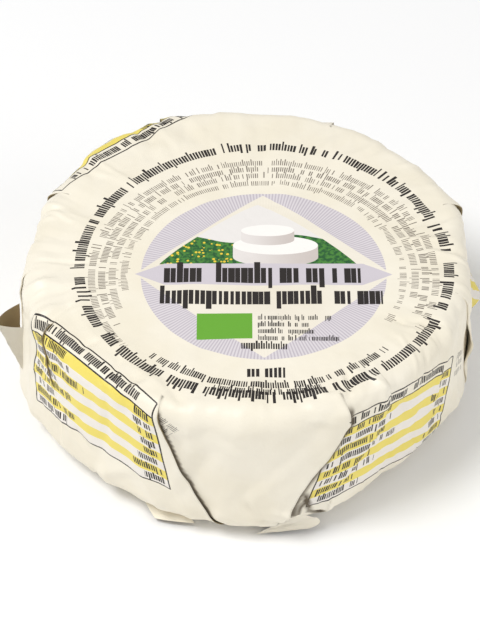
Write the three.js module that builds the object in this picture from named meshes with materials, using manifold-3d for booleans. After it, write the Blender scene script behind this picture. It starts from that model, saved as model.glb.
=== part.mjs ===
// A small soft cheese, wrapped in one folded sheet of coated paper.
// Millimetres, +Z up. The wheel stands on the plane z = 0 and its axis is the Z axis.
// Angles round the wheel are in degrees from the front (-Y), positive towards +X.

import * as THREE from 'three';
import { mergeVertices } from 'three/addons/utils/BufferGeometryUtils.js';
import Module from 'manifold-3d';

// ---- driving dimensions -------------------------------------------------

// The cheese: a low wheel with soft edges.
const CHEESE_RADIUS = 38.4;
const CHEESE_HEIGHT = 28.6;
const CHEESE_TOP_EDGE = 3.2;
const CHEESE_FOOT_EDGE = 6;

// The wrapper: the sheet's layers are taken together as one wall.
const GAP = 0.3;
const WALL = 0.9;
const WRAP_RADIUS = CHEESE_RADIUS + GAP + WALL;
const WRAP_HEIGHT = CHEESE_HEIGHT + 2 * (GAP + WALL);
const WRAP_TOP_EDGE = 3.9;
const WRAP_FOOT_EDGE = 6.6;
const LAP = 0.7;

// The paper isn't drawn tight to a true round. At each angle: how far its outside stands out from
// WRAP_RADIUS at the rim and at the foot.
const SHAPES = [
  { angle: -160, rim: 5.8, foot: 1.6 },
  { angle: -143, rim: 5.8, foot: 1.4 },
  { angle: -122, rim: 3.0, foot: 1.0 },
  { angle: -101, rim: 1.0, foot: 2.2 },
  { angle: -80, rim: 1.0, foot: 4.2 },
  { angle: -62, rim: 1.4, foot: 2.4 },
  { angle: -44, rim: 1.5, foot: 1.0 },
  { angle: -24, rim: 2.0, foot: 0.8 },
  { angle: 0, rim: 1.6, foot: 2.4 },
  { angle: 23, rim: 2.0, foot: 1.0 },
  { angle: 40, rim: 1.6, foot: 0.1 },
  { angle: 58, rim: 1.3, foot: 0.1 },
  { angle: 78, rim: 1.1, foot: 2.0 },
  { angle: 95, rim: 1.0, foot: 1.2 },
  { angle: 114, rim: 3.2, foot: 1.2 },
  { angle: 137, rim: 4.0, foot: 1.0 },
  { angle: 158, rim: 4.8, foot: 1.6 },
  { angle: 180, rim: 4.2, foot: 1.4 },
];

// The pleats that gather the sheet round the side. A pleat starts at the rim at `angle`. Its outer
// fold leans by `lean` degrees from the vertical as it runs down, and the fold hidden behind it
// leans PLEAT_SPREAD degrees more, on the side that `lap` gives, until it is LAP_WIDTH away.
// From LEAN_DEPTH down, both folds run straight to the foot's middle. `stand` is how far the outer
// fold stands off the wall, at `standDepth` below the rim: those pleats are the wrapper's ears.
const PLEAT_SPREAD = 22.5;
const LAP_WIDTH = 6.5;
const LEAN_DEPTH = 23;
const PLEATS = [
  { angle: -157, lean: -14, lap: 1, stand: 0, standDepth: 15 },
  { angle: -118, lean: -6, lap: 1, stand: 0, standDepth: 15 },
  { angle: -79, lean: -34, lap: 1, stand: 5.2, standDepth: 13 },
  { angle: -24.4, lean: 22.5, lap: 1, stand: 0, standDepth: 15 },
  { angle: 25.8, lean: -30, lap: 1, stand: 0.5, standDepth: 6 },
  { angle: 76, lean: 7, lap: -1, stand: 2.4, standDepth: 13 },
  { angle: 96, lean: 2, lap: -1, stand: 2.8, standDepth: 9 },
  { angle: 157, lean: 12, lap: -1, stand: 0, standDepth: 15 },
];
const STAND_REACH = 9;
const LAP_RAMP = 1.6;
const FOLD_EDGE = 0.4;
const ROOT_WIDTH = 0.9;

// The slit under the foot, where two folded flaps don't quite meet.
const SLIT_LENGTH = 9;
const SLIT_WIDTH = 2.4;
const SLIT_RADIUS = 19;
const SLIT_ANGLE = 40;

// How finely the round shapes are divided.
const CHEESE_SEGMENTS = 72;
const EDGE_STEPS = 6;
const SIDE_STEPS = 6;
const PANEL_STEPS = 6;

// ---- materials ----------------------------------------------------------

const rindMaterial = new THREE.MeshStandardMaterial({
  name: 'white_rind',
  color: 0xf1ead8,
  roughness: 0.9,
  metalness: 0,
});

const paperMaterial = new THREE.MeshStandardMaterial({
  name: 'coated_paper',
  color: 0xefe9da,
  roughness: 0.45,
  metalness: 0,
});

// ---- helpers ------------------------------------------------------------

const radians = (degrees) => (degrees * Math.PI) / 180;

function smoothStep(from, to, value) {
  const t = Math.min(Math.max((value - from) / (to - from), 0), 1);
  return t * t * (3 - 2 * t);
}

// Points of a quarter round, from one angle to another about a centre in the r-z plane.
function quarterRound(centreR, centreZ, radius, fromDegrees, toDegrees) {
  const points = [];
  for (let i = 0; i <= EDGE_STEPS; i += 1) {
    const a = radians(fromDegrees + ((toDegrees - fromDegrees) * i) / EDGE_STEPS);
    points.push(new THREE.Vector2(centreR + radius * Math.cos(a), centreZ + radius * Math.sin(a)));
  }
  return points;
}

// A solid of revolution about Z with rounded edges, between z = low and z = high.
function roundedWheel(radius, low, high, footEdge, topEdge) {
  const profile = [
    new THREE.Vector2(0, low),
    ...quarterRound(radius - footEdge, low + footEdge, footEdge, -90, 0),
    ...quarterRound(radius - topEdge, high - topEdge, topEdge, 0, 90),
    new THREE.Vector2(0, high),
  ];
  const geometry = new THREE.LatheGeometry(profile, CHEESE_SEGMENTS);
  geometry.rotateX(Math.PI / 2);
  return geometry;
}

// ---- the cheese ---------------------------------------------------------

const CHEESE_LOW = WALL + GAP;

function makeCheese() {
  const high = CHEESE_LOW + CHEESE_HEIGHT;
  const geometry = roundedWheel(CHEESE_RADIUS, CHEESE_LOW, high, CHEESE_FOOT_EDGE, CHEESE_TOP_EDGE);
  const mesh = new THREE.Mesh(geometry, rindMaterial);
  mesh.name = 'cheese';
  return mesh;
}

// ---- the wrapper --------------------------------------------------------

// The rows of the wrapper's outside, from the top's middle down to the foot's middle. Each row has
// a distance from the axis, a height, and its depth along the side, which is 0 on the top.
function wrapperRows() {
  const rows = [];
  const topFlat = WRAP_RADIUS - WRAP_TOP_EDGE;
  const footFlat = WRAP_RADIUS - WRAP_FOOT_EDGE;
  for (const share of [0.4, 0.75, 0.92]) {
    rows.push({ r: topFlat * share, z: WRAP_HEIGHT });
  }
  for (const p of quarterRound(topFlat, WRAP_HEIGHT - WRAP_TOP_EDGE, WRAP_TOP_EDGE, 90, 0)) {
    rows.push({ r: p.x, z: p.y });
  }
  const sideTop = WRAP_HEIGHT - WRAP_TOP_EDGE;
  for (let i = 1; i < SIDE_STEPS; i += 1) {
    rows.push({ r: WRAP_RADIUS, z: sideTop + ((WRAP_FOOT_EDGE - sideTop) * i) / SIDE_STEPS });
  }
  for (const p of quarterRound(footFlat, WRAP_FOOT_EDGE, WRAP_FOOT_EDGE, 0, -90)) {
    rows.push({ r: p.x, z: p.y });
  }
  for (const share of [0.8, 0.45]) {
    rows.push({ r: footFlat * share, z: 0 });
  }
  return rows;
}

// Where a pleat's two folds are at a depth below the rim, in degrees round the wheel.
function foldAngles(pleat, depth) {
  const perMillimetre = 180 / (Math.PI * WRAP_RADIUS);
  const leaning = Math.min(depth, LEAN_DEPTH);
  const outerRun = Math.tan(radians(pleat.lean)) * leaning;
  const hiddenLean = Math.tan(radians(pleat.lean - pleat.lap * PLEAT_SPREAD));
  const width = Math.min(Math.abs(hiddenLean * leaning - outerRun), LAP_WIDTH);
  const root = pleat.lap * ROOT_WIDTH;
  return {
    outer: pleat.angle + (outerRun + root) * perMillimetre,
    inner: pleat.angle + (outerRun - pleat.lap * width - root) * perMillimetre,
    step: perMillimetre,
  };
}

// The columns across one pleat, in rising angle, each with the share of the lap that it carries.
function pleatColumns(pleat, depth) {
  const fold = foldAngles(pleat, depth);
  const outwards = pleat.lap * fold.step;
  const columns = [
    { angle: fold.inner - outwards * LAP_RAMP, lap: 0, stand: 0 },
    { angle: fold.inner, lap: 1, stand: 0 },
    { angle: (fold.inner + fold.outer) / 2, lap: 1, stand: 0.45 },
    { angle: fold.outer, lap: 1, stand: 1 },
    { angle: fold.outer + outwards * FOLD_EDGE, lap: 0, stand: 0 },
  ];
  return pleat.lap > 0 ? columns : columns.reverse();
}

// Every column of a row: the pleats' own, and the flat panels' between them.
function rowColumns(depth) {
  const columns = [];
  PLEATS.forEach((pleat, index) => {
    const own = pleatColumns(pleat, depth).map((column) => ({ ...column, pleat }));
    const next = PLEATS[(index + 1) % PLEATS.length];
    const turn = index + 1 === PLEATS.length ? 360 : 0;
    const from = own[own.length - 1].angle;
    const to = pleatColumns(next, depth)[0].angle + turn;
    columns.push(...own);
    for (let i = 1; i < PANEL_STEPS; i += 1) {
      columns.push({ angle: from + ((to - from) * i) / PANEL_STEPS, lap: 0, stand: 0, pleat });
    }
  });
  return columns;
}

// How far the paper stands out at an angle, from the rim's figure at the top to the foot's at z = 0.
function swell(angle, z) {
  const first = SHAPES[0].angle;
  const at = ((((angle - first) % 360) + 360) % 360) + first;
  const above = SHAPES.findIndex((shape) => shape.angle > at);
  const high = above < 0 ? { ...SHAPES[0], angle: first + 360 } : SHAPES[above];
  const low = above < 0 ? SHAPES[SHAPES.length - 1] : SHAPES[above - 1];
  const share = smoothStep(low.angle, high.angle, at);
  const down = 1 - z / WRAP_HEIGHT;
  const rim = low.rim + (high.rim - low.rim) * share;
  const foot = low.foot + (high.foot - low.foot) * share;
  return rim + (foot - rim) * down;
}

function standOff(pleat, depth) {
  const away = Math.abs(depth - pleat.standDepth) / STAND_REACH;
  return pleat.stand * (1 - smoothStep(0, 1, away));
}

// The outside of the wrapper as one closed body.
function wrapperOutside() {
  const positions = [0, 0, WRAP_HEIGHT];
  const triangles = [];
  const rows = wrapperRows();
  const count = rowColumns(0).length;
  const sideTop = WRAP_HEIGHT - WRAP_TOP_EDGE / 2;
  for (const row of rows) {
    const depth = Math.max(sideTop - row.z, 0);
    const onSide = smoothStep(WRAP_HEIGHT, WRAP_HEIGHT - WRAP_TOP_EDGE, row.z)
      * smoothStep(0, WRAP_FOOT_EDGE * 0.6, row.z);
    for (const column of rowColumns(depth)) {
      const lap = LAP * column.lap * smoothStep(0, 6, depth);
      const ear = standOff(column.pleat, depth) * column.stand;
      const spread = (row.r / WRAP_RADIUS) ** 2;
      const r = row.r + spread * swell(column.angle, row.z) + onSide * (lap + ear);
      const a = radians(column.angle);
      positions.push(r * Math.sin(a), -r * Math.cos(a), row.z);
    }
  }
  const foot = positions.length / 3;
  positions.push(0, 0, 0);
  const at = (row, column) => 1 + row * count + (column % count);
  for (let c = 0; c < count; c += 1) {
    triangles.push(0, at(0, c), at(0, c + 1));
    for (let r = 0; r + 1 < rows.length; r += 1) {
      triangles.push(at(r, c), at(r + 1, c), at(r + 1, c + 1));
      triangles.push(at(r, c), at(r + 1, c + 1), at(r, c + 1));
    }
    triangles.push(foot, at(rows.length - 1, c + 1), at(rows.length - 1, c));
  }
  const geometry = new THREE.BufferGeometry();
  geometry.setAttribute('position', new THREE.Float32BufferAttribute(positions, 3));
  geometry.setIndex(triangles);
  return geometry;
}

// The space that the cheese fills, a gap wider than the cheese all round.
function wrapperInside() {
  return roundedWheel(
    CHEESE_RADIUS + GAP,
    WALL,
    WRAP_HEIGHT - WALL,
    CHEESE_FOOT_EDGE + GAP,
    CHEESE_TOP_EDGE + GAP,
  );
}

// A thin wedge through the foot of the wrapper.
function slitCutter() {
  const outline = new THREE.Shape([
    new THREE.Vector2(-SLIT_WIDTH / 2, 0),
    new THREE.Vector2(SLIT_WIDTH / 2, 0),
    new THREE.Vector2(0, SLIT_LENGTH),
  ]);
  const geometry = new THREE.ExtrudeGeometry(outline, { depth: 2 * WALL, bevelEnabled: false });
  geometry.translate(0, -SLIT_RADIUS, -WALL / 2);
  geometry.rotateZ(radians(SLIT_ANGLE));
  return geometry;
}

// ---- cutting ------------------------------------------------------------

const wasm = await Module();
wasm.setup();

function toSolid(geometry) {
  const bare = geometry.clone();
  bare.deleteAttribute('normal');
  bare.deleteAttribute('uv');
  const merged = mergeVertices(bare, 1e-4);
  return new wasm.Manifold(new wasm.Mesh({
    numProp: 3,
    vertProperties: new Float32Array(merged.attributes.position.array),
    triVerts: new Uint32Array(merged.index.array),
  }));
}

function toGeometry(solid) {
  const mesh = solid.getMesh();
  const geometry = new THREE.BufferGeometry();
  geometry.setAttribute('position', new THREE.BufferAttribute(mesh.vertProperties, 3));
  geometry.setIndex(new THREE.BufferAttribute(mesh.triVerts, 1));
  geometry.computeVertexNormals();
  return geometry;
}

function makeWrapper() {
  const shell = toSolid(wrapperOutside())
    .subtract(toSolid(wrapperInside()))
    .subtract(toSolid(slitCutter()));
  const mesh = new THREE.Mesh(toGeometry(shell), paperMaterial);
  mesh.name = 'paper_wrapper';
  return mesh;
}

// ---- the object ---------------------------------------------------------

const group = new THREE.Group();
group.add(makeCheese());
group.add(makeWrapper());

export default group;
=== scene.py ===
import math
import random as randomness
from collections import namedtuple

import bpy
import numpy as np
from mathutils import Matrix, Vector


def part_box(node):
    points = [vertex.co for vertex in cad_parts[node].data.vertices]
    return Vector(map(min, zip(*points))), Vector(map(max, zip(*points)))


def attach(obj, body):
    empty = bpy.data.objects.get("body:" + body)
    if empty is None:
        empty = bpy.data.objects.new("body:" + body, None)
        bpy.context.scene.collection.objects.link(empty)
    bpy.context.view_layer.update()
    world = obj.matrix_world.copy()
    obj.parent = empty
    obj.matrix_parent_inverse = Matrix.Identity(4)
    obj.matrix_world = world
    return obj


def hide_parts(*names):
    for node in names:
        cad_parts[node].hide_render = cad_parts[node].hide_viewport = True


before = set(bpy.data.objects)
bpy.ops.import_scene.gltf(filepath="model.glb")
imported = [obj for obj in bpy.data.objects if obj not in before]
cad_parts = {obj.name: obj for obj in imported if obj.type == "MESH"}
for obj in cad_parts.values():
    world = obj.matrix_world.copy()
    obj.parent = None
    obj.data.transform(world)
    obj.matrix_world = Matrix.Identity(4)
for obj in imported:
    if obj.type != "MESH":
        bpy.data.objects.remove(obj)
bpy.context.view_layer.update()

# A small soft cheese in one folded sheet of coated paper. The sheet is modelled by what folding
# does to it: every point of the flat sheet is laid over the wheel's top, down its side and in
# under its foot, and what is too wide for the side goes into pleats. The flat place of each
# point is kept as its UV, so that the print runs across the folds as it does on real paper.

# ---- sizes, in millimetres ----------------------------------------------

MM = 0.001
cheese_low, cheese_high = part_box("cheese")
_, wrap_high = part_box("paper_wrapper")
CHEESE_RADIUS = (cheese_high.x - cheese_low.x) / 2 / MM
WRINKLE_ROOM = 0.25   # kept free under the wrapper's full height for the wrinkles of the top
SIDE_SLACK = 1.8      # how far the paper stands off the cheese all round
HEIGHT = wrap_high.z / MM - WRINKLE_ROOM
RADIUS = CHEESE_RADIUS + SIDE_SLACK
FOOT_EDGE = 6.2       # how wide the edge at the foot is rounded over
SHEET_SIDE = 190.0    # the square sheet, which the print is laid out on
SHEET_END = 98.0      # the sheet is modelled out to here from its middle
INNER_END = 4.0       # the sheet's edge is gathered no nearer to the axis than this
LAYER = 0.26          # one layer of paper with the air under it
UNDER_STACK = 1.1     # how thick the folded layers are under the foot
LEAST_TAKE = 0.6      # a pleat that takes in less than this is only starting to open
CURL_REACH = 5.0      # how far back from its fold a standing edge curls up
BUMP_REACH = 7.0      # half the height of the place where a pleat bulges into an ear
RAMP = 4.5            # how far from a lap the outer panel lies back on the wheel
CREASES_FLAT = 0.92   # how much of the creases is pressed out under the foot

# The paper isn't drawn tight to a true round. At each angle, in degrees from the front towards +X:
# how far it stands out from RADIUS at the rim and at the foot, and how wide the top's edge is
# rounded over.
Shape = namedtuple("Shape", "angle rim foot edge")

SHAPES = [
    Shape(-160, 5.4, 1.2, 3.8),
    Shape(-143, 5.6, 1.0, 5.0),
    Shape(-122, 2.6, 0.6, 4.6),
    Shape(-101, 0.4, 1.6, 3.6),
    Shape(-80, 0.4, 3.9, 3.4),
    Shape(-62, 0.8, 1.8, 3.4),
    Shape(-44, 0.9, 0.4, 3.8),
    Shape(-24, 1.5, 0.2, 3.0),
    Shape(0, 1.1, 1.9, 3.8),
    Shape(23, 1.5, 0.4, 3.0),
    Shape(40, 1.0, -2.2, 4.4),
    Shape(58, 0.7, -1.4, 4.2),
    Shape(78, 0.5, 1.4, 3.6),
    Shape(95, 0.4, 0.6, 3.4),
    Shape(114, 2.8, 0.6, 3.6),
    Shape(137, 3.6, 0.4, 4.4),
    Shape(158, 4.4, 1.0, 3.6),
    Shape(180, 3.8, 0.8, 4.0),
]

# A pleat starts at the rim at `angle`. `path` is how far its outer fold has run round the wheel,
# in millimetres, at given depths below the rim. `lap` is 1 where the left panel lies outside, and
# -1 where the right one does. `stand` is how far the outer fold stands off the wall, and `ear` is
# how much further it stands off about the depth `ear_depth`. A tuck is a short pleat inside a
# panel: it takes in `tuck` millimetres, down to the depth `end`, and the print beyond it slips
# down by `slip`. The last field is how wide the painted shadow line beside the fold is, a darkening
# of the print that stands in for the shade under the fold's edge, and a fold pressed flat has none.
Pleat = namedtuple("Pleat", "angle lap path stand ear ear_depth tuck end slip crack",
                   defaults=(0.5, 0.0, 12.0, 0.0, 0.0, 0.0, 0.95))

PLEATS = [
    Pleat(-157.0, 1, ((0, 0), (10, -1.5), (30, -8))),
    Pleat(-118.0, 1, ((0, 0), (12, -0.5), (30, -4))),
    Pleat(-86.0, 1, ((0, 0), (14, -1.0), (30, -3)), stand=0.1, crack=0.0),
    Pleat(-64.0, 1, ((0, 0), (6, 0.8), (12, 3.4), (16, 6)),
          stand=0.0, tuck=1.0, end=15.0, slip=0.0, crack=0.3),
    Pleat(-22.6, 1, ((0, 0), (6, 0.5), (16, 4.0), (26, 8.8), (32, 12.0)),
          stand=0.15, crack=0.4),
    Pleat(24.4, 1, ((0, 0), (7, 0.4), (20, -8.0), (29, -11.4), (33, -14.5)),
          stand=0.35, crack=1.55),
    Pleat(37.0, 1, ((0, 0), (6, 0.6), (14, -1.0), (21, -7.5), (28, -12.0)),
          stand=0.0, tuck=0.9, end=28.0, slip=1.2, crack=0.0),
    Pleat(76.0, -1, ((0, 0), (14, 1.6), (30, 4)), stand=0.0, ear=1.5, ear_depth=16.5, crack=0.0),
    Pleat(112.0, -1, ((0, 0), (12, 0.5), (30, 4))),
    Pleat(157.0, -1, ((0, 0), (10, 1.5), (30, 8))),
]

# An ear is a corner of a pleat pushed out of the side, like a small cone with an open mouth.
# Each point is its angle, its distance from the axis and its height. `sheet` is the place on the
# flat sheet, in millimetres, that the ear is made of, and `dim` is how much painted shade darkens
# its side.
Ear = namedtuple("Ear", "near tip far foot sheet dim", defaults=(0.0,))

EARS = [
    Ear((-77.0, 41.0, 22.0), (-79.0, 46.7, 22.2), (-86.0, 42.2, 22.0), (-79.5, 42.6, 9.4),
        sheet=(-46.0, -4.0), dim=0.3),
    Ear((-31.0, 37.8, 2.6), (-24.5, 40.7, 0.9), (-14.0, 39.8, 1.2), (-21.0, 36.8, 2.6),
        sheet=(-14.0, -80.0)),
    Ear((13.5, 40.5, 5.0), (17.5, 41.2, 3.4), (15.5, 41.0, 0.8), (2.0, 40.6, 0.5),
        sheet=(8.0, -80.0)),
    Ear((90.5, 41.0, 17.0), (96.0, 44.0, 16.6), (101.5, 41.2, 17.0), (95.0, 40.9, 24.6),
        sheet=(36.0, 31.0), dim=0.15),
]

# Creases made by the folding itself. Each one is where its middle lies (angle, and depth below the
# rim), which way it runs in degrees from straight down, its half length, its half width and how
# high it stands.
CREASES = [
    (7.0, 29.5, 74.0, 6.0, 1.0, -0.9),
    (12.0, 27.3, 62.0, 6.0, 1.3, 0.9),
    (16.0, 28.6, 76.0, 5.0, 0.9, -1.0),
    (-2.0, 30.0, 66.0, 5.0, 1.2, -0.6),
    (1.0, 25.5, 30.0, 5.0, 1.4, -0.5),
    (-13.0, 17.0, -24.0, 12.0, 2.2, -0.4),
    (-6.0, 24.0, -18.0, 9.0, 2.2, 0.4),
    (6.0, 9.0, 20.0, 8.0, 3.5, 0.3),
    (16.0, 6.0, 25.0, 8.0, 2.4, -0.35),
    (-14.0, 4.0, -10.0, 7.0, 2.2, 0.35),
    (-72.0, -5.0, 80.0, 8.0, 2.2, 0.45),
    (-60.0, -4.0, 78.0, 8.0, 2.0, 0.4),
    (-45.0, -4.5, 98.0, 9.0, 2.2, 0.45),
    (-30.0, -2.5, 82.0, 6.0, 1.8, 0.45),
    (-66.0, 0.0, 22.0, 6.0, 1.2, -0.4),
    (-52.0, 0.0, -24.0, 5.0, 1.1, -0.4),
    (-38.0, 0.5, 26.0, 5.0, 1.1, -0.45),
    (-31.0, 1.0, -35.0, 4.0, 1.0, 0.4),
    (-20.0, -1.0, 50.0, 5.0, 1.2, -0.35),
    (-40.0, 3.0, 80.0, 9.0, 1.8, 0.35),
    (-58.0, 8.0, 35.0, 7.0, 1.6, 0.45),
    (-70.0, 12.0, -6.0, 13.0, 1.8, 0.6),
    (-75.0, 11.0, -4.0, 13.0, 1.3, -0.5),
    (-79.0, 4.0, 10.0, 9.0, 1.8, 0.5),
    (-50.0, 20.0, 60.0, 9.0, 2.0, -0.4),
    (-36.0, 24.0, -50.0, 8.0, 2.0, 0.4),
    (20.0, -1.0, 62.0, 5.0, 1.4, 0.45),
    (28.0, -1.0, -30.0, 5.0, 1.1, -0.45),
    (34.0, 3.0, 70.0, 6.0, 1.4, 0.4),
    (45.0, 12.0, 70.0, 10.0, 2.6, -0.4),
    (52.0, 22.0, 40.0, 9.0, 2.4, 0.45),
    (62.0, 6.0, -20.0, 9.0, 2.2, 0.5),
    (58.0, -2.0, 85.0, 9.0, 1.8, 0.4),
    (70.0, 24.0, 15.0, 9.0, 1.8, 0.5),
]

# Painted shadow lines where the curled paper at the foot of the front meets the panel under it,
# standing in for the shade there, given in the same way but for the height, which is how dark the
# line is.
CRACK_SHADOWS = [
    (14.7, 24.6, 10.0, 3.6, 0.8, 1.5),
    (17.4, 29.0, 50.0, 3.4, 0.9, 1.5),
    (12.0, 27.0, -30.0, 5.6, 0.7, 1.2),
    (8.0, 32.2, 74.0, 2.8, 0.9, 1.6),
    (13.0, 31.3, 74.0, 5.0, 0.9, 1.4),
]


# ---- small helpers ------------------------------------------------------

def smooth(low, high, value):
    """0 below low, 1 above high, and a soft slope between."""
    t = np.clip((np.asarray(value, float) - low) / (high - low), 0.0, 1.0)
    return t * t * (3.0 - 2.0 * t)


def srgb(red, green, blue):
    """A colour given as 0 to 255 screen values, as the shader's linear colour."""
    def linear(value):
        c = value / 255.0
        return c / 12.92 if c <= 0.04045 else ((c + 0.055) / 1.055) ** 2.4
    return (linear(red), linear(green), linear(blue), 1.0)


# ---- the wheel's outline ------------------------------------------------

def around(angle, figure):
    """One figure of SHAPES at any angle, eased from each given angle to the next."""
    given = list(SHAPES)
    given.append(given[0]._replace(angle=given[0].angle + 360))
    at = (np.asarray(angle, float) - given[0].angle) % 360.0 + given[0].angle
    value = np.zeros(np.shape(at))
    for low, high in zip(given, given[1:]):
        start = getattr(low, figure)
        rise = getattr(high, figure) - start
        share = 0.5 * smooth(low.angle, high.angle, at)
        share = share + 0.5 * np.clip((at - low.angle) / (high.angle - low.angle), 0.0, 1.0)
        value = np.where((at >= low.angle) & (at < high.angle), start + rise * share, value)
    return value


def rim(angle):
    """Distance along the sheet from its middle to where the top's edge starts to round over."""
    return RADIUS + around(angle, "rim") - around(angle, "edge")


def outline(s, angle):
    """The wheel's own surface at s along the sheet: distance from the axis, height, and how far
    the outward direction points outwards and up."""
    edge = around(angle, "edge")
    flat = rim(angle)
    over = np.clip((s - flat) / edge, 0.0, math.pi / 2)
    side = flat + edge * math.pi / 2
    tall = HEIGHT - edge - FOOT_EDGE
    under = np.clip((s - side - tall) / FOOT_EDGE, 0.0, math.pi / 2)
    below = side + tall + FOOT_EDGE * math.pi / 2
    r = np.minimum(s, flat) + edge * np.sin(over) - FOOT_EDGE * (1 - np.cos(under))
    r = np.maximum(r - np.maximum(s - below, 0.0), INNER_END * smooth(0.0, 6.0, s))
    z = HEIGHT - edge * (1 - np.cos(over)) - np.clip(s - side, 0.0, tall)
    z = z - FOOT_EDGE * np.sin(under)
    down = np.clip((s - flat) / (below - flat), 0.0, 1.0)
    slant = around(angle, "foot") - around(angle, "rim")
    r = r + slant * down * np.clip(r / 34.0, 0.0, 1.0)
    turn = over + under
    return r, z, np.sin(turn), np.cos(turn)


# ---- where the folds run ------------------------------------------------

class Fold:
    """One pleat's fold lines, worked out for every row of the sheet, in degrees round the wheel."""

    def __init__(self, pleat, share, rows):
        self.pleat = pleat
        r, _, _, _ = outline(rows, np.full(len(rows), pleat.angle))
        depth = np.maximum(rows - rim(pleat.angle), 0.0)
        depths, runs = zip(*pleat.path)
        run = np.interp(depth, depths, runs)
        run = np.convolve(np.pad(run, 3, mode="edge"), np.ones(7) / 7.0, mode="valid")
        self.edge = pleat.angle + np.degrees(run / RADIUS)
        if pleat.tuck:
            closing = 1.0 - smooth(pleat.end * 0.6, pleat.end, depth)
            take = pleat.tuck * smooth(0.0, 4.0, depth) * closing
        else:
            take = math.radians(share) * np.maximum(rows - r, 0.0) / 2.0
        self.take = take
        self.width = np.degrees(take / np.maximum(r, 1.0))
        self.open = smooth(0.0, LEAST_TAKE, take)
        self.lift = (2.0 if pleat.crack and not pleat.tuck else 1.2) * LAYER * self.open
        bump = 1.0 - smooth(0.0, 1.0, np.abs(depth - pleat.ear_depth) / BUMP_REACH)
        self.stand = (pleat.stand * smooth(0.0, 3.0, depth) + pleat.ear * bump) * self.open
        # where the edge hangs over the layer below it, the painted shadow line reaches further past
        # it
        overhang = np.maximum(-pleat.lap * np.gradient(run, rows), 0.0)
        self.crack = pleat.crack + (self.lift + self.stand) * overhang * bool(pleat.crack)

    @property
    def left_end(self):
        return self.edge if self.pleat.lap > 0 else self.edge + self.width

    @property
    def right_start(self):
        return self.edge - self.width if self.pleat.lap > 0 else self.edge

    def stands(self, degrees_away, r):
        """How far an outer panel stands off near this fold: raised over the lap, and easing down
        past it."""
        away = np.radians(np.abs(degrees_away)) * r
        lap = np.radians(self.width) * r
        ramp = 1.0 - smooth(0.0, 1.0, (away - lap) / RAMP)
        reach = CURL_REACH + self.pleat.ear
        curl = np.clip(1.0 - away / reach, 0.0, 1.0) ** 1.6
        return self.lift * ramp + self.stand * curl

    def darkens(self, degrees_past, r):
        """How much painted shade darkens the inner panel just past this fold's edge, where little
        light gets in.
        """
        if not self.pleat.crack:
            return np.zeros(len(r))
        past = np.radians(degrees_past) * r / self.crack
        strength = np.clip(0.7 + self.stand * 0.6, 0.0, 1.0)
        return self.open * strength * (1.0 - smooth(0.45, 1.0, past))


def make_folds(rows):
    main = [p for p in PLEATS if not p.tuck]
    shares = {}
    for i, pleat in enumerate(main):
        before = main[i - 1].angle - (360.0 if i == 0 else 0.0)
        after = main[(i + 1) % len(main)].angle + (360.0 if i + 1 == len(main) else 0.0)
        shares[pleat] = (after - before) / 2.0
    folds = [Fold(p, shares.get(p, 0.0), rows) for p in PLEATS]
    for i, fold in enumerate(folds):
        step = 1 if fold.pleat.lap < 0 else -1
        other = folds[(i + step) % len(folds)]
        space = np.abs((other.edge - fold.edge + 180.0) % 360.0 - 180.0)
        fold.width = np.minimum(fold.width, space * 0.8)
    return folds


# ---- the sheet's mesh ---------------------------------------------------

def make_rows():
    """Distances along the sheet for the mesh's rows, close together where it bends."""
    stretches = [(0.4, 34.0, 1.6), (34.0, 46.0, 0.42), (46.0, 64.0, 0.55), (64.0, 74.0, 0.6),
                 (74.0, SHEET_END, 1.7)]
    rows = [0.4]
    for low, high, step in stretches:
        count = max(int(round((high - low) / step)), 1)
        rows.extend(low + (high - low) * (i + 1) / count for i in range(count))
    return np.array(rows)


REVERSED_STEPS = 11   # columns across the layer of a pleat that runs back
PANEL_STEP = 0.62     # between the columns of a panel at its widest


class Column:
    """One line of the mesh from the sheet's middle to its edge: for every row, its angle round the
    wheel, its angle on the flat sheet, how far the print has slipped down, how far it stands off
    the wheel, and how much painted shade darkens it next to a fold. in_fold is a pleat's reversed
    layer, which takes the painted fold shade."""

    def __init__(self, angle, flat, slip, off, dark, in_fold=False):
        self.dark = dark
        self.in_fold = in_fold
        self.angle = angle
        self.flat = flat
        self.slip = slip
        self.off = off


def make_panel(left, right, turn, middle, rows):
    """The columns of one panel, from the fold on its left to the one on its right."""
    shift = np.zeros(len(rows))
    slip = np.zeros(len(rows))
    if left.pleat.tuck and left.pleat.angle >= middle:
        shift = 2.0 * left.take
        slip = left.pleat.slip * smooth(0.0, 4.0, rows - rim(left.pleat.angle))
    if right.pleat.tuck and right.pleat.angle < middle:
        shift = -2.0 * right.take
    start = left.right_start
    end = right.left_end + turn
    widest = float(np.max(np.radians(end - start) * RADIUS))
    steps = max(int(widest / PANEL_STEP), 3)
    columns = []
    for j in range(steps + 1):
        angle = start + (end - start) * j / steps
        r, _, _, _ = outline(rows, angle)
        off = np.zeros(len(rows))
        dark = np.zeros(len(rows))
        if left.pleat.lap < 0:
            off = off + left.stands(angle - left.edge, r)
        else:
            dark = np.maximum(dark, left.darkens(angle - left.edge, r))
        if right.pleat.lap > 0:
            off = off + right.stands(angle - turn - right.edge, r)
        else:
            dark = np.maximum(dark, right.darkens(right.edge + turn - angle, r))
        flat = middle + (angle - middle) * r / rows + np.degrees(shift / rows)
        columns.append(Column(angle, flat, slip, off, dark))
    return columns


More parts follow.
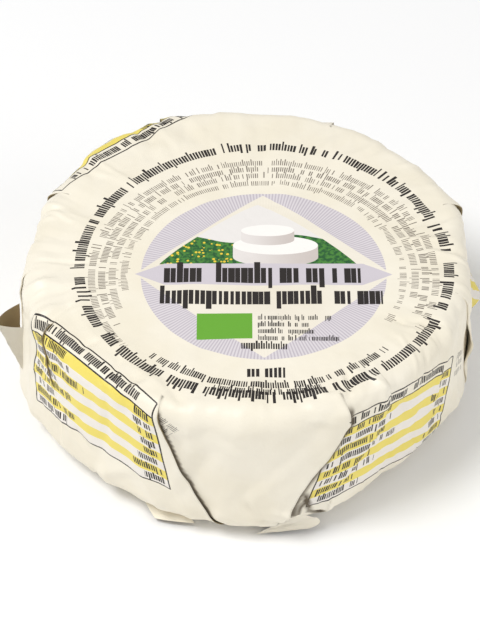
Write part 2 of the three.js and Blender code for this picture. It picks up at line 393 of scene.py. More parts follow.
def make_reversed(fold, last, following, turn, rows):
    """The layer of a pleat that runs back, from one panel's last column to the next one's first."""
    lap = fold.pleat.lap
    tip = np.degrees(0.12 / RADIUS) * fold.open
    outer = last.off if lap > 0 else following.off
    inner = LAYER * 0.5 * fold.open
    near_edge = outer - LAYER * 0.6 * fold.open
    columns = []
    for j in range(REVERSED_STEPS + 1):
        t = (j + 0.5) / (REVERSED_STEPS + 1)
        from_edge = t if lap > 0 else 1.0 - t
        angle = last.angle + (following.angle + turn - last.angle) * t
        flat = last.flat + (following.flat + turn - last.flat) * t
        slip = last.slip + (following.slip - last.slip) * t
        off = inner + np.maximum(near_edge - inner, 0.0) * (1.0 - from_edge) ** 1.3
        from_fold = angle - last.angle if lap > 0 else following.angle + turn - angle
        cover = fold.stands(from_fold, outline(rows, angle)[0]) - LAYER * 1.0 * fold.open
        off = np.minimum(off, np.maximum(cover, 0.02))
        bend = tip * (1.0 - smooth(0.0, 0.3, from_edge)) * lap
        bend = bend - tip * smooth(0.7, 1.0, from_edge) * lap
        columns.append(Column(angle + bend, flat, slip, off, np.zeros(len(rows)),
                              in_fold=fold.pleat.crack > 0))
    return columns


def make_columns(rows):
    folds = make_folds(rows)
    main = [p.angle for p in PLEATS if not p.tuck]
    panels = []
    turns = []
    for i, left in enumerate(folds):
        turn = 360.0 if i + 1 == len(folds) else 0.0
        before = [a for a in main if a <= left.pleat.angle]
        after = [a for a in main if a > left.pleat.angle]
        low = before[-1] if before else main[-1] - 360.0
        high = after[0] if after else main[0] + 360.0
        right = folds[(i + 1) % len(folds)]
        panels.append(make_panel(left, right, turn, (low + high) / 2.0, rows))
        turns.append(turn)
    columns = []
    for i, panel in enumerate(panels):
        following = (i + 1) % len(panels)
        columns += panel
        columns += make_reversed(folds[following], panel[-1], panels[following][0], turns[i], rows)
    return columns


def random_creases(random):
    """Straight soft creases pressed into all the layers, in the form that tents() takes."""
    lines = []

    def crease(distance, turn, half_length, half_width, rise):
        bearing = math.radians(random.uniform(0, 360))
        heading = bearing + math.radians(turn)
        centre = (distance * math.sin(bearing), -distance * math.cos(bearing))
        way = (math.sin(heading), -math.cos(heading))
        lines.append((centre, way, half_length, half_width, rise * random.choice([-1, 1])))

    top = RADIUS - 4.0
    for _ in range(80):    # the flat top, long and faint
        crease(top * math.sqrt(random.uniform(0.05, 1.0)), random.uniform(-90, 90),
               random.uniform(6, 22), random.uniform(1.2, 4.5), random.uniform(0.03, 0.14))
    for _ in range(170):   # puckers over the rim
        crease(top + random.uniform(-4.0, 7.0), random.uniform(-28, 28),
               random.uniform(3, 9), random.uniform(0.7, 2.2), random.uniform(0.06, 0.32))
    for _ in range(60):    # broad bends of the side
        crease(random.uniform(44.0, 72.0), random.gauss(0, 30),
               random.uniform(10, 22), random.uniform(3.0, 6.5), random.uniform(0.2, 0.6))
    for _ in range(200):   # fine creases of the side
        crease(random.uniform(42.0, 74.0), random.gauss(0, 45),
               random.uniform(3, 13), random.uniform(0.6, 2.2), random.uniform(0.05, 0.26))
    return lines


def tents(x, y, lines):
    """The height of many straight creases at x, y: each a tent that fades out towards its ends."""
    height = np.zeros(np.shape(x))
    for (cx, cy), (dx, dy), half_length, half_width, rise in lines:
        along = (x - cx) * dx + (y - cy) * dy
        across = (x - cx) * dy - (y - cy) * dx
        tent = np.clip(1.0 - np.abs(across) / half_width, 0.0, 1.0)
        height += rise * tent * (1.0 - smooth(0.3, 1.0, np.abs(along) / half_length))
    return height


def given_creases(angle, depth, creases):
    """The height of CREASES, or the darkness of the painted shadow lines, at an angle and a depth
    below the rim.
    """
    lines = []
    for at, down, heading, half_length, half_width, rise in creases:
        turn = math.radians(heading)
        centre = (math.radians(at) * RADIUS, down)
        lines.append((centre, (math.sin(turn), math.cos(turn)), half_length, half_width, rise))
    return tents(np.radians(angle) * RADIUS, depth, lines)


def on_wheel(angle, radial, height):
    a = np.radians(angle)
    return np.stack([radial * np.sin(a), -radial * np.cos(a), height], axis=-1)


EAR_STEPS = 10
FOLDS_START = 37.8    # no pleat is deep enough to be dark inside nearer the sheet's middle
FOLD_SHADE_SLOT = 3      # the material after those for the three parts of the print


def make_ear(ear, random):
    """One ear's points, their places on the flat sheet, and its faces."""
    near, tip, far, foot = (on_wheel(*(np.float64(v) for v in p)) for p in ear[:4])
    points = []
    places = []
    columns = 2 * EAR_STEPS + 1
    for i in range(columns):
        u = i / EAR_STEPS
        mouth = near + (tip - near) * u if u <= 1.0 else tip + (far - tip) * (u - 1.0)
        bow = math.sin(math.pi * (u % 1.0))
        sideways = math.copysign(1.1 * bow, ear.tip[0]) if u > 1.0 else 0.0
        mouth = mouth + np.array([sideways, 0.0, -0.35 * bow if u < 1.0 else 0.0])
        for j in range(EAR_STEPS + 1):
            v = j / EAR_STEPS
            point = mouth + (foot - mouth) * v
            dent = random.uniform(-0.12, 0.12) * math.sin(math.pi * v)
            points.append(point + np.array([dent, dent, 0.0]))
            places.append((ear.sheet[0] + i * 0.5, ear.sheet[1] + j * 1.2))
    faces = []
    outwards = 0.0
    for i in range(columns - 1):
        for j in range(EAR_STEPS):
            p = i * (EAR_STEPS + 1) + j
            q = p + EAR_STEPS + 1
            faces.append((p, q, q + 1, p + 1))
            normal = np.cross(points[q] - points[p], points[p + 1] - points[p])
            outwards += float(normal[0] * points[p][0] + normal[1] * points[p][1])
    if outwards < 0.0:
        faces = [face[::-1] for face in faces]
    return points, places, faces


def make_wrapper():
    random = randomness.Random(7)
    rows = make_rows()
    columns = make_columns(rows)
    angle = np.array([c.angle for c in columns])
    flat = np.radians([c.flat for c in columns])
    off = np.array([c.off for c in columns])
    s = np.broadcast_to(rows, angle.shape)
    paper = s - np.array([c.slip for c in columns])
    dark = np.array([c.dark for c in columns]).ravel()
    x_flat = paper * np.sin(flat)
    y_flat = -paper * np.cos(flat)

    r, z, out, up = outline(s, angle)
    pressed = CREASES_FLAT * smooth(66.0, 74.0, s)
    around_x = s * np.sin(np.radians(angle))
    around_y = -s * np.cos(np.radians(angle))
    rough = tents(around_x, around_y, random_creases(random))
    depth = s - rim(angle)
    rough += given_creases(angle, depth, CREASES)
    # painted shade: dark lines where the curled paper at the front's foot meets the panel, joined
    # to the fold shade
    crack_shadows = np.clip(given_creases(angle, depth, CRACK_SHADOWS), 0.0, 1.0)
    dark = np.maximum(dark, crack_shadows.ravel())
    lift = off + rough * (1.0 - pressed)
    radial = r + lift * out
    height = z + lift * up + UNDER_STACK * smooth(58.0, 72.0, s)
    height = np.maximum(height, 0.02 + 0.1 * (UNDER_STACK - np.clip(off, 0.0, UNDER_STACK)))
    points = on_wheel(angle, radial, height)

    column_count, row_count = angle.shape
    vertices = points.reshape(-1, 3)
    places = np.stack([x_flat, y_flat], axis=-1).reshape(-1, 2)
    top = len(vertices)
    vertices = np.vstack([vertices, [[0.0, 0.0, HEIGHT]]])
    dark = np.append(dark, 0.0)
    places = np.vstack([places, [[0.0, 0.0]]])
    faces = []
    in_fold = []
    first_row = int(np.searchsorted(rows, FOLDS_START))
    for c in range(column_count):
        n = (c + 1) % column_count
        hidden = columns[c].in_fold or columns[n].in_fold
        in_fold.extend([False] * (1 + first_row) + [hidden] * (row_count - 1 - first_row))
        faces.append((top, c * row_count, n * row_count))
        for k in range(row_count - 1):
            p = c * row_count + k
            q = n * row_count + k
            faces.append((p, p + 1, q + 1, q))
    for ear in EARS:
        ear_points, ear_places, ear_faces = make_ear(ear, random)
        first = len(vertices)
        vertices = np.vstack([vertices, ear_points])
        places = np.vstack([places, ear_places])
        # painted shade: each ear's side is darkened by its dim
        dark = np.append(dark, np.full(len(ear_points), ear.dim))
        faces.extend(tuple(first + v for v in face) for face in ear_faces)
        in_fold.extend([False] * len(ear_faces))

    mesh = bpy.data.meshes.new("folded_wrapper")
    mesh.from_pydata((vertices * MM).tolist(), [], faces)
    mesh.update()
    uv = mesh.uv_layers.new(name="sheet")
    loops = np.empty(len(mesh.loops), dtype=np.int32)
    mesh.loops.foreach_get("vertex_index", loops)
    uv.data.foreach_set("uv", (places[loops] / SHEET_SIDE + 0.5).ravel())
    # painted shade: how dark each point is, carried to the materials in a second UV map
    shade = mesh.uv_layers.new(name="shade")
    shade.data.foreach_set("uv", np.stack([dark[loops], np.zeros(len(loops))], axis=-1).ravel())
    mesh.polygons.foreach_set("use_smooth", [True] * len(mesh.polygons))
    from_label = np.hypot(places[:, 0] - LABEL[0], places[:, 1] - LABEL[1])
    from_ring = np.hypot(places[:, 0] - RING[0], places[:, 1] - RING[1])
    part = (from_label > LABEL_REACH).astype(int) + (from_ring > RING_REACH).astype(int)
    # the reversed layers of the pleats take the painted fold shade material
    slots = [FOLD_SHADE_SLOT if hidden else int(part[f[0]]) for f, hidden in zip(faces, in_fold)]
    mesh.polygons.foreach_set("material_index", slots)
    piece = bpy.data.objects.new("folded_wrapper", mesh)
    bpy.context.scene.collection.objects.link(piece)
    return piece


# ---- writing patterns as formulas ---------------------------------------

class Value:
    """A number inside a node tree, so that a pattern can be written as a formula."""

    def __init__(self, tree, socket):
        self.tree = tree
        self.socket = socket

    def math(self, operation, *others):
        node = self.tree.nodes.new("ShaderNodeMath")
        node.operation = operation
        for slot, value in zip(node.inputs, (self,) + others):
            feed(self.tree, slot, value)
        return Value(self.tree, node.outputs[0])

    def __add__(self, other):
        return self.math("ADD", other)

    __radd__ = __add__

    def __sub__(self, other):
        return self.math("SUBTRACT", other)

    def __rsub__(self, other):
        return (self * -1.0) + other

    def __mul__(self, other):
        return self.math("MULTIPLY", other)

    __rmul__ = __mul__

    def __truediv__(self, other):
        return self.math("DIVIDE", other)

    def __abs__(self):
        return self.math("ABSOLUTE")

    def floor(self):
        return self.math("FLOOR")

    def fract(self):
        return self.math("FRACT")

    def above(self, other):
        return self.math("GREATER_THAN", other)

    def below(self, other):
        return self.math("LESS_THAN", other)

    def within(self, low, high):
        return self.above(low) * self.below(high)

    def either(self, other):
        return self.math("MAXIMUM", other)

    def soft(self, low, high):
        node = self.tree.nodes.new("ShaderNodeMapRange")
        node.interpolation_type = "SMOOTHSTEP"
        feed(self.tree, node.inputs["Value"], self)
        feed(self.tree, node.inputs["From Min"], low)
        feed(self.tree, node.inputs["From Max"], high)
        return Value(self.tree, node.outputs["Result"])

    def chance(self, seed=0.0):
        """A fixed random number from 0 to 1 for each whole number."""
        node = self.tree.nodes.new("ShaderNodeTexWhiteNoise")
        node.noise_dimensions = "2D"
        pair = self.tree.nodes.new("ShaderNodeCombineXYZ")
        feed(self.tree, pair.inputs[0], self)
        feed(self.tree, pair.inputs[1], seed)
        self.tree.links.new(pair.outputs[0], node.inputs["Vector"])
        return Value(self.tree, node.outputs["Value"])


def feed(tree, slot, value):
    if isinstance(value, Value):
        tree.links.new(value.socket, slot)
    else:
        slot.default_value = value


def mix(tree, share, low, high):
    """A colour between low and high."""
    node = tree.nodes.new("ShaderNodeMix")
    node.data_type = "RGBA"
    feed(tree, node.inputs[0], share)
    feed(tree, node.inputs[6], low)
    feed(tree, node.inputs[7], high)
    return Value(tree, node.outputs[2])


def new_group(name, inputs, outputs):
    """A node group. inputs are (name, kind, start value), and outputs are (name, kind)."""
    tree = bpy.data.node_groups.new(name, "ShaderNodeTree")
    for label, kind, start in inputs:
        socket = "NodeSocket" + kind
        slot = tree.interface.new_socket(name=label, in_out="INPUT", socket_type=socket)
        if start is not None:
            slot.default_value = start
    for label, kind in outputs:
        socket = "NodeSocket" + kind
        tree.interface.new_socket(name=label, in_out="OUTPUT", socket_type=socket)
    entry = tree.nodes.new("NodeGroupInput")
    leave = tree.nodes.new("NodeGroupOutput")
    given = {label: Value(tree, entry.outputs[label]) for label, _, _ in inputs}
    return tree, given, leave


def place_group(tree, group, **values):
    node = tree.nodes.new("ShaderNodeGroup")
    node.node_tree = group
    for label, value in values.items():
        feed(tree, node.inputs[label.replace("_", " ").capitalize()], value)
    return {slot.name: Value(tree, slot) for slot in node.outputs}


# ---- the print ----------------------------------------------------------

# The print's colours, the painted shade colours of the sheet's back side and its folds, and the
# rind's.
PAPER = srgb(244, 237, 220)
PAPER_TINT = srgb(239, 231, 211)
INK = srgb(34, 27, 24)
FINE_INK = srgb(96, 84, 74)
LILAC = srgb(193, 185, 193)
LILAC_RAY = srgb(238, 233, 234)
BAND = srgb(209, 202, 209)
STRIPE = srgb(240, 221, 106)
STRIPE_GAP = srgb(240, 234, 226)
GRASS = srgb(70, 132, 52)
GRASS_DARK = srgb(28, 88, 42)
FLOWER = srgb(240, 208, 60)
SKY = srgb(236, 232, 228)
TAB = srgb(104, 170, 48)
RIND_WHITE = srgb(250, 247, 242)
RIND_PALE = srgb(232, 226, 222)
RIND_SHADE = srgb(206, 196, 190)
# the sheet's back side: the paper's inner side, made dark brown so that it is also painted shade
# inside pockets and ears
INSIDE_AND_SHADE = srgb(150, 130, 94)
# painted shade: the flat colour of a pleat's reversed layer, down in the fold
IN_FOLD_SHADE = srgb(150, 134, 100)
# painted shade: the dark brown of the shadow lines beside folds, at the foot and on the ears
CRACK_SHADE = srgb(84, 70, 46)
RIND_CREAM = srgb(246, 240, 226)
RIND_TAN = srgb(228, 214, 186)

DISC_RADIUS = 22.3
RAY_COUNT = 230

# The label sits a little off the wheel's axis: millimetres to the right and to the back.
LABEL = (2.8, -4.5)
LABEL_REACH = 23.6    # the disc and the bold lines stop here, and the rings of marks start
RING = (2.9, -2.3)
RING_REACH = 35.4     # the rings of marks stop here, and the panels start


def make_marks_group():
    """A line of short dark strokes, set close like small print, that spell nothing."""
    tree, given, leave = new_group(
        "short_marks",
        [("Along", "Float", 0.0), ("Across", "Float", 0.0), ("Size", "Float", 1.0),
         ("Weight", "Float", 0.16), ("Seed", "Float", 0.0), ("Gaps", "Float", 0.13)],
        [("Ink", "Float")],
    )
    pitch = given["Size"] * 0.6
    place = given["Along"] / pitch
    cell = place.floor()
    part = place.fract()
    height = given["Across"] / given["Size"]
    word = cell.chance(given["Seed"]).above(given["Gaps"])
    tall = cell.chance(given["Seed"] + 3.7)
    second = cell.chance(given["Seed"] + 9.1).above(0.2)
    half_width = (cell.chance(given["Seed"] + 5.3) * 0.7 + 0.65) * given["Weight"]
    top = tall.above(0.72) * 0.4 + 1.0
    foot = tall.below(0.12) * -0.34
    body = height.above(0.0) * height.below(1.0)
    first_stroke = abs(part - 0.28).below(half_width) * height.above(foot) * height.below(top)
    second_stroke = abs(part - 0.76).below(given["Weight"]) * body * second
    feed(tree, leave.inputs["Ink"], word * first_stroke.either(second_stroke))
    return tree


def flat_vector(tree, x, y):
    pair = tree.nodes.new("ShaderNodeCombineXYZ")
    feed(tree, pair.inputs[0], x)
    feed(tree, pair.inputs[1], y)
    return pair.outputs[0]


def lozenge(x, y, half_wide, half_tall, power):
    """1 inside a four-cornered shape, and 0 outside it. Its sides bow out where power is over 1."""
    sides = (abs(x) / half_wide).math("POWER", power) + (abs(y) / half_tall).math("POWER", power)
    return sides.below(1.0)


def draw_wheel(tree, color, window, x, y, half, foot, tall):
    """A plain white wheel of cheese in the label's scene, seen a little from above."""
    flat = half * half * 0.105
    side = abs(x).below(half) * y.within(foot, foot + tall)
    lower = (x * x / (half * half) + (y - foot) * (y - foot) / flat).below(1.0)
    upper = (x * x / (half * half) + (y - foot - tall) * (y - foot - tall) / flat).below(1.0)
    shade = mix(tree, (x / half).soft(-1.0, 1.0), RIND_PALE, RIND_SHADE)
    color = mix(tree, window * side.either(lower), color, shade)
    return mix(tree, window * upper, color, RIND_WHITE)


def make_label_group(marks):
    """The middle of the label: a rayed disc, a small scene, and rows of plain strokes."""
    tree, given, leave = new_group(
        "round_label",
        [("X", "Float", 0.0), ("Y", "Float", 0.0), ("Paper", "Color", PAPER)],
        [("Color", "Color")],
    )
    x = given["X"] - LABEL[0]
    y = given["Y"] - LABEL[1]
    radius = (x * x + y * y).math("SQRT")
    bearing = x.math("ARCTAN2", y)

    # the disc and its fine rays, and the pale field in the middle of it
    ray = abs((bearing * (RAY_COUNT / math.tau)).fract() - 0.5)
    rays = ray.soft(0.46, 0.1) * radius.soft(7.0, 19.0)
    lilac = mix(tree, rays * 0.6, LILAC, LILAC_RAY)
    color = mix(tree, radius.below(DISC_RADIUS), given["Paper"], lilac)
    field = lozenge(x, y, 23.2, 21.8, 1.04)
    color = mix(tree, field * 0.9, color, given["Paper"])

    # the scene: cheeses on grass under a pale sky, in a pointed window
    rise = y - 2.6
    window = lozenge(x + 1.0, rise, 18.0, 16.6, 1.12) * y.above(2.6)
    color = mix(tree, window, color, SKY)
    place = flat_vector(tree, x, y)
    clump = texture(tree, "ShaderNodeTexNoise", place, 1.4, detail=3.0)
    meadow_top = (x * 0.3).math("SINE") * 1.1 + 9.6
    meadow = window * y.below(meadow_top)
    grass = mix(tree, Value(tree, clump.outputs["Fac"]).soft(0.42, 0.58), GRASS_DARK, GRASS)
    color = mix(tree, meadow, color, grass)
    dots = texture(tree, "ShaderNodeTexVoronoi", place, 1.1)
    flowers = Value(tree, dots.outputs["Distance"]).below(0.3) * x.below(-2.0)
    color = mix(tree, flowers * meadow, color, FLOWER)
    color = draw_wheel(tree, color, window, x - 2.2, y, 7.8, 4.6, 3.2)
    color = draw_wheel(tree, color, window, x - 0.8, y, 4.9, 9.4, 2.5)

    # the band, and the bold lines across the label
    band = y.within(-2.9, 2.8) * (abs(x) + abs(y) * 1.9).below(23.4)
    color = mix(tree, band, color, BAND)
    ink = None
    for left, right, foot, size, weight, seed in [
        (-18.2, 17.6, -2.3, 3.9, 0.2, 11.0),
        (-21.0, 21.4, -8.0, 3.5, 0.2, 23.0),
        (-4.2, 4.4, -19.7, 1.45, 0.17, 31.0),
    ]:
        bold = place_group(tree, marks, along=x - left, across=y - foot, size=size, weight=weight,
                           seed=seed, gaps=0.08)
        line = bold["Ink"] * x.within(left, right)
        ink = line if ink is None else ink.either(line)

    # the plain green tab and the fine lines beside it
    tab = x.within(-12.0, -2.1) * y.within(-17.1, -10.4)
    color = mix(tree, tab, color, TAB)
    row = ((y + 17.8) / 1.78).floor()
    fine = place_group(tree, marks, along=x, across=y + 17.45 - row * 1.78, size=1.0, weight=0.15,
                       seed=row + 50.0)
    reach = row.chance(4.0) * 8.0 + 6.0
    ink = ink.either(fine["Ink"] * x.above(-1.2) * x.below(reach) * y.within(-17.6, -10.6))
    feed(tree, leave.inputs["Color"], mix(tree, ink, color, INK))
    return tree


def make_rings_group(marks):
    """The rings of marks round the label, and the few short lines under it."""
    tree, given, leave = new_group(
        "rings_of_marks",
        [("X", "Float", 0.0), ("Y", "Float", 0.0), ("Paper", "Color", PAPER)],
        [("Color", "Color")],
    )
    x = given["X"] - LABEL[0]
    y = given["Y"] - LABEL[1]
    radius = (x * x + y * y).math("SQRT")
    bearing = x.math("ARCTAN2", y)
    fine_ink = None
    for base, start, end, size, weight, seed in [
        (30.6, -2.25, 2.05, 1.3, 0.11, 5.0),
        (28.75, -2.05, 1.95, 1.3, 0.13, 6.0),
        (26.85, -1.95, 1.85, 1.3, 0.11, 7.0),
        (24.7, -1.75, 2.1, 1.25, 0.1, 8.0),
    ]:
        line = place_group(tree, marks, along=bearing * base, across=radius - base, size=size,
                           weight=weight, seed=seed)
        part = line["Ink"] * bearing.within(start, end)
        fine_ink = part if fine_ink is None else fine_ink.either(part)
    color = mix(tree, fine_ink * 0.85, given["Paper"], FINE_INK)

    ring_x = given["X"] - RING[0]
    ring_y = given["Y"] - RING[1]
    ring_radius = (ring_x * ring_x + ring_y * ring_y).math("SQRT")
    ring_bearing = ring_x.math("ARCTAN2", ring_y)
    outer = place_group(tree, marks, along=ring_bearing * 33.6, across=ring_radius - 32.7, size=1.9,
                        weight=0.18, seed=2.0, gaps=0.1)
    ink = outer["Ink"]
    weight_mark = place_group(tree, marks, along=x + 3.2, across=y + 26.8, size=2.6, weight=0.17,
                              seed=37.0)
    ink = ink.either(weight_mark["Ink"] * x.within(-3.2, 3.6))
    # two short arcs, the right way up from the front
    below = x.math("ARCTAN2", y * -1.0)
    for base, half, size, seed in [(29.6, 0.84, 1.45, 14.0), (31.2, 0.33, 1.3, 15.0)]:
        line = place_group(tree, marks, along=below * base, across=base - radius, size=size,
                           weight=0.16, seed=seed)
        ink = ink.either(line["Ink"] * abs(below).below(half))
    feed(tree, leave.inputs["Color"], mix(tree, ink, color, INK))
    return tree


PANEL_HALF = 16.8     # half a panel's width
PANEL_ASIDE = 4.3     # how far a panel's middle lies beside the sheet's diagonal
PANEL_START = 37.3    # from the middle of the sheet to a panel's top
PANEL_ROWS = 8
TITLE = 2.8           # the height of a panel's title
PITCH = 2.24          # from row to row
RULE = 0.14           # half the width of a ruled line


def make_panel_group(marks):
    """The striped panels on the four corners of the sheet, each in a thin dark frame."""
    tree, given, leave = new_group(
        "striped_panels",
        [("X", "Float", 0.0), ("Y", "Float", 0.0), ("Paper", "Color", PAPER)],
        [("Color", "Color")],
    )
    x = given["X"] - RING[0]
    y = given["Y"] - RING[1]
    # turn each quarter of the sheet so that its corner points straight down
    quarter_x = x.above(0.0) * 2.0 - 1.0
    quarter_y = y.above(0.0) * 2.0 - 1.0
    half = math.sqrt(0.5)
    out = (abs(x) + abs(y)) * half
    aside = quarter_x * -1.1 + PANEL_ASIDE
    side = (abs(x) - abs(y)) * half * quarter_x * quarter_y * -1.0 + aside
    back = y.above(0.0) * (quarter_x * 1.6 + 6.0)
    lowered = x.above(0.0) * y.below(0.0) * 1.8
    down = out - PANEL_START - lowered - back - side * (quarter_x * 0.04 + 0.085)
    seed = quarter_x * 7.0 + quarter_y * 13.0 + 60.0
    deep = TITLE + PANEL_ROWS * PITCH
    row = ((down - TITLE) / PITCH).floor()
    odd = (row / 2.0).fract().below(0.25)
    # the front right panel's near corner is cut off
    whole = 1.0 - x.above(0.0) * y.below(0.0) * (side + PANEL_HALF).below(3.0) * down.below(7.0)
    stripes = abs(side).below(PANEL_HALF) * down.within(TITLE, deep) * whole
    color = mix(tree, stripes, given["Paper"], mix(tree, odd, STRIPE_GAP, STRIPE))
    # marks: a bold title, then each row's words at the left and a figure at the right
    along = side + PANEL_HALF
    head = place_group(tree, marks, along=along, across=TITLE - 0.7 - down, size=1.5, weight=0.19,
                       seed=seed)
    ink = head["Ink"] * along.within(0.8, 30.0) * down.within(0.2, TITLE)
    text = place_group(tree, marks, along=along, across=(row + 1.0) * PITCH + TITLE - 0.56 - down,
                       size=1.38, weight=0.165, seed=seed + row)
    words = along.within(0.8, (row + seed).chance(1.0) * 11.0 + 8.0)
    figures = along.within((row + seed).chance(2.0) * -4.0 + 30.4, 32.8)
    ink = ink.either(text["Ink"] * words.either(figures) * stripes)
    # the end of a short note beside the panel
    note_row = ((down - 0.8) / 1.9).floor()
    note_place = (note_row + 1.0) * 1.9 + 0.5 - down
    note = place_group(tree, marks, along=along, across=note_place, size=1.2, weight=0.12,
                       seed=seed + note_row + 3.0)
    ink = ink.either(note["Ink"] * along.within(36.0, 40.5) * down.within(1.0, 6.4) * 0.75)
    side_rules = abs(abs(side) - PANEL_HALF).below(RULE) * down.within(0.0, deep)
    cross_rules = abs(down).below(RULE).either(abs(down - deep).below(RULE))
    cross_rules = cross_rules.either(abs(down - TITLE).below(RULE))
    ink = ink.either(side_rules).either(abs(side).below(PANEL_HALF) * cross_rules)
    feed(tree, leave.inputs["Color"], mix(tree, ink * whole, color, INK))
    return tree


# ---- materials ----------------------------------------------------------

def start_material(name, roughness):
    material = bpy.data.materials.new(name)
    material.use_nodes = True
    tree = material.node_tree
    shader = tree.nodes["Principled BSDF"]
    shader.inputs["Roughness"].default_value = roughness
    return material, tree, shader


def texture(tree, kind, vector, scale, **settings):
    node = tree.nodes.new(kind)
    node.inputs["Scale"].default_value = scale
    for label, value in settings.items():
        node.inputs[label.replace("_", " ").title()].default_value = value
    tree.links.new(vector, node.inputs["Vector"])
    return node


def make_paper_group():
    """The bare coated paper: its clouded cream, its sheen and the height of its fine wrinkles."""
    tree, given, leave = new_group(
        "coated_paper",
        [("Place", "Vector", None)],
        [("Color", "Color"), ("Roughness", "Float"), ("Height", "Float")],
    )
    place = given["Place"].socket
    cloud = texture(tree, "ShaderNodeTexNoise", place, 14.0, detail=3.0)
    shade = Value(tree, cloud.outputs["Fac"])
    feed(tree, leave.inputs["Color"], mix(tree, shade.soft(0.35, 0.7), PAPER, PAPER_TINT))
    feed(tree, leave.inputs["Roughness"], shade * 0.16 + 0.4)
    fine = texture(tree, "ShaderNodeTexNoise", place, 90.0, detail=4.0, roughness=0.6)
    wrinkles = texture(tree, "ShaderNodeTexVoronoi", place, 34.0)
    wrinkles.feature = "DISTANCE_TO_EDGE"
    crinkle = Value(tree, wrinkles.outputs["Distance"]).soft(0.0, 0.16)
    feed(tree, leave.inputs["Height"], Value(tree, fine.outputs["Fac"]) * 0.8 + crinkle * 0.25)
    return tree


def make_paper_material(name, paper_group, print_group):
    """The coated paper with one part of the print on it, darkened by painted shade where the
    'shade' UV map says.
    """
    material, tree, shader = start_material(name, 0.46)
    place = tree.nodes.new("ShaderNodeUVMap")
    place.uv_map = "sheet"
    parts = tree.nodes.new("ShaderNodeSeparateXYZ")
    tree.links.new(place.outputs["UV"], parts.inputs[0])
    x = (Value(tree, parts.outputs[0]) - 0.5) * SHEET_SIDE
    y = (Value(tree, parts.outputs[1]) - 0.5) * SHEET_SIDE
    paper = place_group(tree, paper_group, place=Value(tree, place.outputs["UV"]))
    printed = place_group(tree, print_group, x=x, y=y, paper=paper["Color"])
    # painted shade: the 'shade' UV map darkens the print towards a dark brown beside the folds, at
    # the front's foot and on the ears' sides
    crack = tree.nodes.new("ShaderNodeUVMap")
    crack.uv_map = "shade"
    shade_line_parts = tree.nodes.new("ShaderNodeSeparateXYZ")
    tree.links.new(crack.outputs["UV"], shade_line_parts.inputs[0])
    color = mix(tree, Value(tree, shade_line_parts.outputs[0]), printed["Color"], CRACK_SHADE)
    # back faces: the paper's inner side, darkened to also stand in for the shade inside pockets and
    # ears
    face = tree.nodes.new("ShaderNodeNewGeometry")
    back = Value(tree, face.outputs["Backfacing"])
    feed(tree, shader.inputs["Base Color"], mix(tree, back, color, INSIDE_AND_SHADE))
    feed(tree, shader.inputs["Roughness"], paper["Roughness"])
    bump = tree.nodes.new("ShaderNodeBump")
    bump.inputs["Strength"].default_value = 0.35
    bump.inputs["Distance"].default_value = 0.00025
    feed(tree, bump.inputs["Height"], paper["Height"])
    tree.links.new(bump.outputs["Normal"], shader.inputs["Normal"])
    return material


def make_fold_shade_material():
    """Painted shade: the paper down in a fold, in a flat darker colour, where little light reaches
    it.
    """
    material, tree, shader = start_material("paper_in_fold_shade", 0.7)
    shader.inputs["Base Color"].default_value = IN_FOLD_SHADE
    return material


def make_rind_material():
    material, tree, shader = start_material("white_mould_rind", 0.9)
    place = tree.nodes.new("ShaderNodeTexCoord")
    spot = place.outputs["Object"]
    down = texture(tree, "ShaderNodeTexNoise", spot, 380.0, detail=5.0, roughness=0.7)
    patches = texture(tree, "ShaderNodeTexNoise", spot, 60.0, detail=3.0)
    tone = mix(tree, Value(tree, patches.outputs["Fac"]).soft(0.4, 0.65), RIND_CREAM, RIND_TAN)
    feed(tree, shader.inputs["Base Color"], tone)
    bump = tree.nodes.new("ShaderNodeBump")
    bump.inputs["Strength"].default_value = 0.5
    bump.inputs["Distance"].default_value = 0.0006
    feed(tree, bump.inputs["Height"], Value(tree, down.outputs["Fac"]))
    tree.links.new(bump.outputs["Normal"], shader.inputs["Normal"])
    return material


# ---- the pieces ---------------------------------------------------------

wrapper = make_wrapper()
marks_group = make_marks_group()
paper_group = make_paper_group()
for name, print_group in [
    ("paper_with_label", make_label_group(marks_group)),
    ("paper_with_rings", make_rings_group(marks_group)),
    ("paper_with_panels", make_panel_group(marks_group)),
]:
    wrapper.data.materials.append(make_paper_material(name, paper_group, print_group))
wrapper.data.materials.append(make_fold_shade_material())
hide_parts("paper_wrapper")
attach(wrapper, "root")

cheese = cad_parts["cheese"]
rind = make_rind_material()
for slot in cheese.material_slots:
    slot.material = rind


# ---- the studio ---------------------------------------------------------

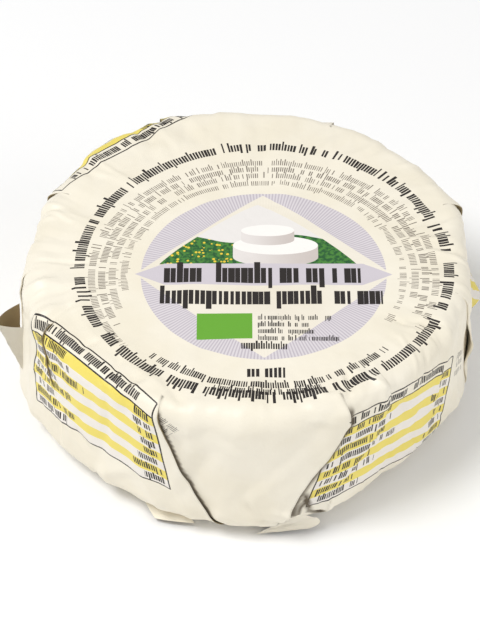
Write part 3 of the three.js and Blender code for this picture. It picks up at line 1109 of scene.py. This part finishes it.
FLOOR_REACH = 3.0        # metres
FLOOR_DROP = 0.0002


def make_floor():
    mesh = bpy.data.meshes.new("studio_floor")
    sides = [(-1, -1), (1, -1), (1, 1), (-1, 1)]
    corners = [(x * FLOOR_REACH, y * FLOOR_REACH, -FLOOR_DROP) for x, y in sides]
    mesh.from_pydata(corners, [], [(0, 1, 2, 3)])
    floor = bpy.data.objects.new("studio_floor", mesh)
    bpy.context.scene.collection.objects.link(floor)
    material, tree, shader = start_material("studio_white", 0.8)
    shader.inputs["Base Color"].default_value = srgb(250, 250, 250)
    mesh.materials.append(material)


def make_light(name, where, size, power):
    light = bpy.data.lights.new(name, "AREA")
    light.shape = "DISK"
    light.size = size
    light.energy = power
    lamp = bpy.data.objects.new(name, light)
    lamp.location = where
    aim = Vector((0, 0, 0.015)) - Vector(where)
    lamp.rotation_euler = aim.to_track_quat("-Z", "Y").to_euler()
    bpy.context.scene.collection.objects.link(lamp)


def make_world():
    world = bpy.data.worlds.new("soft_room")
    world.use_nodes = True
    sky = world.node_tree.nodes["Background"]
    sky.inputs["Color"].default_value = (1.0, 1.0, 1.0, 1.0)
    sky.inputs["Strength"].default_value = 0.5
    bpy.context.scene.world = world


CAMERA_HEIGHT = 43.4     # degrees above the table
CAMERA_DISTANCE = 0.51
CAMERA_LENS = 153.7


def make_camera():
    data = bpy.data.cameras.new("camera")
    data.lens = CAMERA_LENS
    data.sensor_width = 36.0
    camera = bpy.data.objects.new("camera", data)
    tilt = math.radians(CAMERA_HEIGHT)
    target = Vector((-0.0015, 0.0, 0.015))
    back = Vector((0.0, -math.cos(tilt), math.sin(tilt)))
    camera.location = target + back * CAMERA_DISTANCE
    camera.rotation_euler = (-back).to_track_quat("-Z", "Y").to_euler()
    bpy.context.scene.collection.objects.link(camera)
    bpy.context.scene.camera = camera


make_camera()
make_floor()
make_world()
make_light("key", (-0.45, -0.2, 0.88), 0.4, 5.85)
make_light("fill", (0.8, -0.35, 0.45), 0.6, 2.0)
bpy.context.scene.view_settings.view_transform = "Standard"
